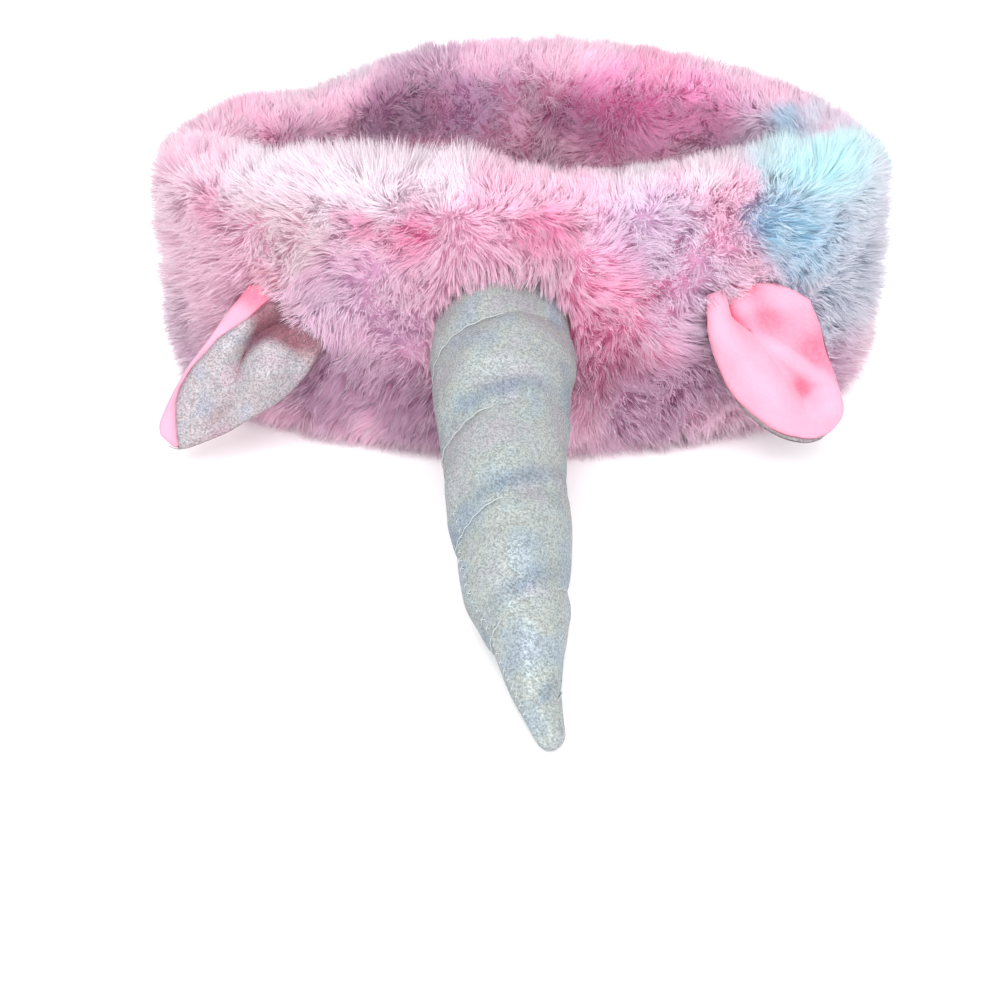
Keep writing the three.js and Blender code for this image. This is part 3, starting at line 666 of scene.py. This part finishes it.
# share of the left ear's length and width in mm of its lining that shows along its left edge
LEFT_RIM = (
    (0.0, 0.12, 0.33, 0.56, 0.70, 0.78, 0.88, 0.96, 1.0), (8.5, 7.0, 2.8, 1.8, 2.0, 3.0, 6.2, 9.0, 9.0))
right_lining = ear_cloth(
    "right_ear_plush", RIGHT_EAR, EAR_GAP / 2, EAR_GAP / 2 + LINING_THICK,
    (((0, 0.5, 0.7, 0.9, 1), (0, 0.2, 1.1, 1.0, 0)), 0.2, 0.5), 0.0)
right_back = ear_cloth(
    "right_ear_knit", RIGHT_EAR, -EAR_GAP / 2 - BACKING_THICK, -EAR_GAP / 2,
    (((0, 0.35, 0.55, 0.9, 1), (1.2, 1.0, -0.8, -0.7, 0)), 0.3, -0.5), 0.1 * MM)
left_lining = ear_cloth(
    "left_ear_plush", LEFT_EAR, -EAR_GAP / 2 - LINING_THICK, -EAR_GAP / 2,
    (((0, 1), (0, 0)), 0.0, 0.0), 0.0, rim=LEFT_RIM)
left_back = ear_cloth(
    "left_ear_knit", LEFT_EAR, EAR_GAP / 2, EAR_GAP / 2 + BACKING_THICK,
    (LEFT_RIM, -0.3, -0.3), 0.12 * MM)

plush = Finish(
    "pink plush", Roughness=0.8, Sheen_Weight=0.15, Sheen_Roughness=0.4,
    Sheen_Tint=colour(255, 226, 236))
nap = plush.noise(900.0, 3.0)
stroke = plush.noise(60.0, 2.0)
# painted shade: the lining turns deep coral where it lies in a fold or hollow, and dark red in the
# deepest
tucked = plush.add("ShaderNodeAttribute", {"attribute_name": "fold"}, out="Fac")
rosy = plush.mix(plush.rise(stroke, 0.35, 0.7), colour(202, 134, 156), colour(202, 144, 166))
rosy = plush.mix(plush.rise(tucked, 0.0, 0.55), rosy, colour(208, 96, 122))
rosy = plush.mix(0.8 * plush.rise(tucked, 0.65, 1.0), rosy, colour(140, 44, 62))
plush.shade(Base_Color=plush.mix(0.15 * plush.rise(nap, 0.3, 0.7), rosy, colour(210, 158, 176)))
brushed_nap = plush.add("ShaderNodeBump", {}, Strength=0.5, Distance=0.4 * MM, Height=nap + 0.5 * stroke)
plush.shade(Normal=brushed_nap)
plush.on(right_lining, left_lining)
# the last colour tints the ear knit's painted shade in its folds and hollows
ear_knit = silver_cloth("pale silver knit", colour(124, 120, 124), colour(184, 178, 182), [
    colour(226, 232, 246), colour(240, 240, 242), colour(244, 238, 238), colour(236, 238, 240),
    colour(248, 232, 240),
], colour(196, 128, 144))
ear_knit.on(right_back, left_back)
for piece, node in ((right_lining, "right_ear_lining"), (right_back, "right_ear_back"),
                    (left_lining, "left_ear_lining"), (left_back, "left_ear_back")):
    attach(piece, "root")
    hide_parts(node)

# The pile.
# Long soft acrylic pile, knitted into the cloth and brushed up towards the top edge. It gathers into
# small tufts with paler tips, parts round the horn and the ears, leans down near the floor and is
# crushed flat where the ring stands on it.
PILE_LENGTH = 13.2 * MM
STRAND_WIDTH = 0.40 * MM
STRAND_STEPS = np.array([0.0, 0.5, 1.0])
STRANDS = 99000
# share of the ring's height, and how far the pile there leans up its side of the wall
BRUSHED_UP = np.array([(0.0, -0.42), (0.3, -0.12), (0.6, 0.28), (0.85, 0.72), (1.0, 0.80)])
LOCK_WIDTH, TUFT_WIDTH = 12 * MM, 2.4 * MM
# turn and share of the pile's length along the top edge, where it was brushed up or trodden down
TOP_PILE = np.array([
    (0.00, 1.00), (0.04, 0.90), (0.09, 0.86), (0.12, 1.12), (0.16, 1.68), (0.20, 1.45),
    (0.25, 1.15), (0.30, 1.00),
    (0.70, 1.00), (0.73, 0.80), (0.76, 1.05), (0.84, 1.20), (0.88, 1.50), (0.925, 1.62), (0.94, 1.45),
    (0.965, 1.62), (0.985, 1.15), (1.00, 1.00),
])
# turn of the middle of each end of the ring, and how much longer its pile hangs out to the side
SIDE_TURNS, SIDE_SPREAD, SIDE_PILE = (0.235, 0.790), 0.055, 0.30
RING_LENGTH, WALL_GIRTH = 525 * MM, 245 * MM
# how far the pile stays off the horn, and how far from the horn's cut end the inner pile begins
PARTING, ROOT_COVER = 0.4 * MM, 4 * MM
# the pile that starts this far above an ear's foot falls over it, this much proud of the cloth but
# lifted no further than the last; the rest stays this far behind the cloth
ABOVE_FOOT, OVER_EAR, MOST_LIFT, BEHIND_EAR = 2.5 * MM, 2.6 * MM, 4 * MM, 2.4 * MM
# the most waves round the ring and over its wall in which the lay of the pile wanders
SLOW, QUICK = (16, 7), (44, 20)


def wander(turn, share, count, seed, reach):
    """Smooth numbers from about -1 to 1 that wander over the ring, the same on every run."""
    made = np.random.default_rng(seed)
    total = 0 * turn
    for _ in range(count):
        around, over = made.integers(-reach[0], reach[0] + 1), made.integers(-reach[1], reach[1] + 1)
        total = total + np.sin(2 * math.pi * (around * turn + over * share + made.random()))
    return total / math.sqrt(count / 2)


def beside_horn(points):
    """The way to points from the middle line of the horn's root, square to it, and how far it is."""
    centre, ahead, _, _, _ = horn_line(np.array(0.12))
    away = points - centre
    away = away - (away * ahead).sum(-1, keepdims=True) * ahead
    distance = np.linalg.norm(away, axis=-1)
    return away / np.maximum(distance, 1e-9)[..., None], distance


def pile_course(turn, share, lean_along=0.0, lean_across=0.0):
    """Where a strand starts, how it leaves the cloth and where it heads at its tip."""
    root, normal, along, across = ring_surface(turn, share, PILE_DEPTH)
    out = ring_place(turn)[2]
    facing_out = (normal * out).sum(-1)
    sideways = 0.42 * wander(turn, share, 12, 3, SLOW) + 0.24 * wander(turn, share, 16, 9, QUICK)
    sideways = sideways + lean_along
    upward = 0.34 * wander(turn, share, 12, 5, SLOW) + 0.30 * wander(turn, share, 16, 7, QUICK)
    brushed_up = np.interp(root[..., 2] / RING_HEIGHT, BRUSHED_UP[:, 0], BRUSHED_UP[:, 1])
    upward = upward + brushed_up * facing_out * np.abs(facing_out) + lean_across
    lay = sideways[..., None] * along + upward[..., None] * across
    away, distance = beside_horn(root)
    near = (bell(np.maximum(distance - HORN_RADIUS, 0), 6 * MM) * (facing_out > 0.3))[..., None]
    lay = lay * (1 - 0.7 * near) - 0.35 * near * away
    leave = normal + 0.25 * lay
    head = normal + lay
    leave /= np.linalg.norm(leave, axis=-1, keepdims=True)
    head /= np.linalg.norm(head, axis=-1, keepdims=True)
    return root, normal, leave, head


def nearest_lock(turn, share, width, seed):
    """Where the lock of each strand stands, and its own number from 0 to 1 for tone and lean."""
    columns, rows = round(RING_LENGTH / width), round(WALL_GIRTH / width)
    jitter = np.random.default_rng(seed).random((columns, rows, 2))
    best = np.full(turn.shape, 1e9)
    chosen = np.zeros(turn.shape + (2,))
    number = np.zeros(turn.shape, int)
    for over in (-1, 0, 1):
        for up in (-1, 0, 1):
            column = np.floor(turn * columns).astype(int) + over
            row = np.floor(share * rows).astype(int) + up
            shift = jitter[column % columns, row % rows]
            centre = np.stack([(column + shift[..., 0]) / columns, (row + shift[..., 1]) / rows], -1)
            away = ((centre[..., 0] - turn) * RING_LENGTH) ** 2
            away = away + ((centre[..., 1] - share) * WALL_GIRTH) ** 2
            nearer = away < best
            best = np.where(nearer, away, best)
            chosen = np.where(nearer[..., None], centre, chosen)
            number = np.where(nearer, (column % columns) * rows + row % rows, number)
    own = np.random.default_rng(seed + 1).random((columns * rows, 3))[number]
    return chosen[..., 0], chosen[..., 1], own


def strand_points(root, leave, head, length, step):
    return root + length[..., None] * (leave * step + (head - leave) * step * step / 2)


def part_round_horn(points):
    """Push points of the outer pile that are inside the horn out to its side."""
    stations = np.linspace(0, 0.5, 40)
    centres, aheads, _, _, _ = horn_line(stations)
    girths = HORN_RADIUS * read_smoothly(HORN_GIRTH, 1, stations)
    nearest = np.argmin(((points[:, None] - centres[None]) ** 2).sum(-1), 1)
    away = points - centres[nearest]
    away -= (away * aheads[nearest]).sum(-1, keepdims=True) * aheads[nearest]
    distance = np.linalg.norm(away, axis=-1)
    wanted = girths[nearest] + PARTING
    outer = points[:, 1] < HORN_ROOT[1] - ROOT_COVER
    inside = (distance < wanted) & outer
    push = np.where(inside, wanted - distance, 0)[:, None]
    return points + push * away / np.maximum(distance, 1e-9)[:, None], inside


def above_foot(points, ear):
    """How far above the foot of an ear points are, and far away beside it."""
    root, across, down, _ = ear_frame(ear)
    place, reach = (points - root) @ across, (points - root) @ down
    return ear["slant"] * np.maximum(place, 0) - reach + 1e3 * (np.abs(place) > 0.62 * EAR_WIDTH)


def part_round_ear(points, roots, ear):
    """Keep points under an ear behind it, and those that fall over its foot in front of it."""
    root, across, down, face = ear_frame(ear)
    place, reach, stand = ((points - root) @ axis for axis in (across, down, face))
    shown = np.clip(reach / ear["length"], 0, 1)
    table = ear["edges"]
    left = np.interp(shown, table[:, 0], table[:, 1]) * EAR_WIDTH - 1 * MM
    right = np.interp(shown, table[:, 0], table[:, 2]) * EAR_WIDTH + 1 * MM
    crease = np.interp(shown, table[:, 0], table[:, 3])
    level = sum(ear["relief"](shown, place, crease))
    over = (place > left) & (place < right) & (reach > -EAR_ROOT_DEPTH) & (reach < ear["length"])
    below = above_foot(roots, ear) < ABOVE_FOOT
    sink = np.where(over & below & (stand > level - BEHIND_EAR), level - BEHIND_EAR - stand, 0)
    lift = np.where(over & ~below & (stand < level + OVER_EAR), level + OVER_EAR - stand, 0)
    return points + (sink + np.minimum(lift, MOST_LIFT))[:, None] * face


def pile(name, low, high, seed):
    """One piece of the fur, as joined flat strands that taper to a point."""
    random = np.random.default_rng(seed)
    turn = random.uniform(low, high, STRANDS)
    share = np.interp(random.random(STRANDS), [0, 0.92, 1], [0, 0.8, 1])
    lock_turn, lock_share, lock_own = nearest_lock(turn, share, LOCK_WIDTH, 21)
    tuft_turn, tuft_share, tuft_own = nearest_lock(turn, share, TUFT_WIDTH, 31)
    lean = 0.6 * (lock_own[:, 1:] - 0.5) + 0.9 * (tuft_own[:, 1:] - 0.5)
    stray = 1 + 1.6 * (random.random(STRANDS) < 0.025)
    loose = 0.32 * stray[:, None] * random.normal(size=(STRANDS, 2))
    root, normal, leave, head = pile_course(turn, share, *(lean + loose).T)
    brushed = np.interp(turn, TOP_PILE[:, 0], TOP_PILE[:, 1]) - 1
    hanging = sum(bell(turn - end, SIDE_SPREAD) for end in SIDE_TURNS)
    hanging = hanging * bell(root[:, 2] / RING_HEIGHT - 0.35, 0.35) * (share < 0.4)
    brushed = PILE_LENGTH * (1 + brushed * np.clip(normal[:, 2], 0, 1) ** 2 + SIDE_PILE * hanging)
    for ear in (RIGHT_EAR, LEFT_EAR):
        brushed = brushed * (1 - 0.5 * bell(above_foot(root, ear) - 4 * MM, 7 * MM))
    length = brushed * random.uniform(0.72, 1.04, STRANDS) * (0.92 + 0.12 * tuft_own[:, 0])
    lock = pile_course(lock_turn, lock_share, *(0.6 * (lock_own[:, 1:] - 0.5)).T)
    tuft = pile_course(tuft_turn, tuft_share, *lean.T)
    # the ears hang outside the ring, so the pile on its inside isn't parted by them
    outer = ((normal * ring_place(turn)[2]).sum(-1) > -0.3)[:, None]
    spine = []
    for step in STRAND_STEPS:
        point = strand_points(root, leave, head, length, step)
        for clump, pull, own in ((lock, 0.08, lock_own), (tuft, 0.26, tuft_own)):
            reach = brushed * (0.88 + 0.16 * own[:, 0])
            target = strand_points(clump[0], clump[2], clump[3], reach, step)
            point = point + (pull / stray)[:, None] * step ** 1.3 * (target - point)
        point, inside = part_round_horn(point)
        if step == 0:
            swallowed = inside
        for ear in (RIGHT_EAR, LEFT_EAR):
            point = np.where(outer, part_round_ear(point, root, ear), point) if step else point
        floor_gap = 0.4 * MM + 0.6 * MM * random.random(STRANDS)
        point[:, 2] = np.maximum(point[:, 2], floor_gap)
        spine.append(point)
    kept = ~swallowed
    spine = np.stack(spine, 1)[kept]
    turn, share, normal = turn[kept], share[kept], normal[kept]
    count = len(spine)
    heading = np.gradient(spine, axis=1)
    heading /= np.linalg.norm(heading, axis=2, keepdims=True) + 1e-12
    facing = normal[:, None] + 0 * spine
    sideways = np.cross(heading, facing) + 0.45 * random.normal(size=(count, 1, 3))
    sideways -= (sideways * heading).sum(2, keepdims=True) * heading
    sideways /= np.linalg.norm(sideways, axis=2, keepdims=True) + 1e-12
    half = sideways[:, 1] * STRAND_WIDTH / 2 * random.uniform(0.7, 1.2, (count, 1))
    points = np.stack([spine[:, 0], spine[:, 1] - half, spine[:, 1] + half, spine[:, 2]], 1)
    points[..., 2] = np.maximum(points[..., 2], 0.2 * MM)
    faces = (np.arange(count)[:, None, None] * 4 + np.array([(0, 2, 1), (1, 2, 3)])).reshape(-1)
    mesh = bpy.data.meshes.new(name)
    mesh.vertices.add(count * 4)
    mesh.vertices.foreach_set("co", points.reshape(-1).astype(np.float32))
    mesh.loops.add(len(faces))
    mesh.loops.foreach_set("vertex_index", faces.astype(np.int32))
    mesh.polygons.add(count * 2)
    mesh.polygons.foreach_set("loop_start", np.arange(0, len(faces), 3, dtype=np.int32))
    mesh.update(calc_edges=True)
    along = STRAND_STEPS[[0, 1, 1, 2]]
    tones = 0.45 * lock_own[kept, 0] + 0.55 * tuft_own[kept, 0]
    for key, values in {
        "along": np.tile(along, count),
        "strand_tone": np.repeat(random.random(count), 4),
        "lock_tone": np.repeat(tones, 4),
    }.items():
        mesh.attributes.new(key, "FLOAT", "POINT").data.foreach_set("value", values.astype(np.float32))
    upright = facing - (facing * heading).sum(2, keepdims=True) * heading
    upright /= np.linalg.norm(upright, axis=2, keepdims=True) + 1e-9
    lit = 0.8 * facing + 0.2 * upright
    lit /= np.linalg.norm(lit, axis=2, keepdims=True)
    mesh.shade_smooth()
    mesh.normals_split_custom_set_from_vertices(lit[:, [0, 1, 1, 2]].reshape(-1, 3).tolist())
    # the map for baking runs across by turn and up by share, in bands that are each a strand long
    bands = 16
    strip_width = 0.003
    side = np.array([0.0, -0.5, 0.5, 0.0]) * strip_width
    across = np.clip((turn[:, None] - low) / (high - low) + side[None], 0, 1)
    band = np.floor(share * bands)[:, None]
    up = (band + 0.04 + 0.92 * along[None]) / bands
    uv = np.stack([across, up], -1).reshape(-1, 2)[faces]
    mesh.uv_layers.new(name="OFBake").data.foreach_set("uv", uv.reshape(-1).astype(np.float32))
    piece = bpy.data.objects.new(name, mesh)
    bpy.context.scene.collection.objects.link(piece)
    return piece


fur_finish = Finish("dyed pile", Roughness=0.7, Sheen_Weight=0.2, Sheen_Roughness=0.5)
fur_finish.shader.inputs["Specular IOR Level"].default_value = 0.3
along = fur_finish.add("ShaderNodeAttribute", {"attribute_name": "along"}, out="Fac")
strand_tone = fur_finish.add("ShaderNodeAttribute", {"attribute_name": "strand_tone"}, out="Fac")
lock_tone = fur_finish.add("ShaderNodeAttribute", {"attribute_name": "lock_tone"}, out="Fac")
patch_colour = dye_with_painted_light(fur_finish)
# painted shade: the pile darkens and deepens in tone towards its roots, where shade falls between the
# strands
root_shade_colour = fur_finish.mix(0.5, patch_colour, patch_colour, "MULTIPLY")
depth = fur_finish.rise(along + 0.25 * lock_tone + 0.15 * strand_tone, 0.1, 1.0)
body = fur_finish.mix(depth, root_shade_colour, patch_colour)
tipped = 0.4 * along ** 3 * (0.5 + 0.3 * strand_tone + 0.5 * lock_tone)
pale = fur_finish.mix(tipped, body, (1.0, 0.97, 1.0, 1))
fur_finish.shade(Base_Color=pale)
behind = fur_finish.add("ShaderNodeNewGeometry", {}, out="Backfacing")
outward = fur_finish.add("ShaderNodeNewGeometry", {}, out="Normal")
lit_side = fur_finish.add("ShaderNodeVectorMath", {"operation": "SCALE"}, outward, Scale=1 - 2 * behind)
fur_finish.shade(Normal=lit_side)
fur_finish.glow_through(0.55, (1.0, 0.86, 0.95, 1))

for name, low, high, seed in (
    ("pile_front_right", 0, 0.25, 11), ("pile_back_right", 0.25, 0.5, 12),
    ("pile_back_left", 0.5, 0.75, 13), ("pile_front_left", 0.75, 1, 14),
):
    fur = pile(name, low, high, seed)
    fur_finish.on(fur)
    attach(fur, "root")
    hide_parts("fur_band")

# The floor, the light and the camera.
# A plain pale floor under two large soft lamps, one above and one in front, and a bright room, and the
# viewpoint of the photograph, which looks down at the ring from in front of the horn.
floor_mesh = bpy.data.meshes.new("floor")
floor_mesh.from_pydata([(-3, -3, 0), (3, -3, 0), (3, 3, 0), (-3, 3, 0)], [], [(0, 1, 2, 3)])
floor = bpy.data.objects.new("floor", floor_mesh)
bpy.context.scene.collection.objects.link(floor)
floor_finish = Finish("pale floor", Roughness=0.7)
speck = floor_finish.rise(floor_finish.noise(30.0), 0.3, 0.7)
floor_finish.shade(Base_Color=floor_finish.mix(speck, (0.87, 0.87, 0.87, 1), (0.89, 0.89, 0.89, 1)))
floor_finish.on(floor)

bpy.context.scene.view_settings.view_transform = "Standard"
world = bpy.data.worlds.new("studio")
bpy.context.scene.world = world
world.use_nodes = True
world.node_tree.nodes["Background"].inputs["Color"].default_value = (1, 1, 1, 1)
world.node_tree.nodes["Background"].inputs["Strength"].default_value = 1.3
LAMPS = (("key", (-0.25, -0.6, 1.15), 0.9, 10), ("fill", (0.3, -1.2, 0.75), 1.2, 14))
for name, place, size, power in LAMPS:
    light = bpy.data.lights.new(name, "AREA")
    light.size, light.energy = size, power
    lamp = bpy.data.objects.new(name, light)
    lamp.location = place
    lamp.rotation_euler = (Vector(RING_CENTRE) - Vector(place)).to_track_quat("-Z", "Y").to_euler()
    bpy.context.scene.collection.objects.link(lamp)

CAMERA_PLACE = Vector((-6.7, -491.8, 297.6)) * MM
CAMERA_DROP = math.radians(36.3)
CAMERA_LENS = 55.6
band_low, band_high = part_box("fur_band")
camera_data = bpy.data.cameras.new("camera")
camera_data.sensor_width = 36
camera_data.lens = CAMERA_LENS
camera = bpy.data.objects.new("camera", camera_data)
middle_of_band = Vector(((band_low.x + band_high.x) / 2, (band_low.y + band_high.y) / 2, 0))
camera.location = middle_of_band + CAMERA_PLACE
camera.rotation_euler = (math.pi / 2 - CAMERA_DROP, 0, 0)
bpy.context.scene.collection.objects.link(camera)
bpy.context.scene.camera = camera

bpy.context.view_layer.update()
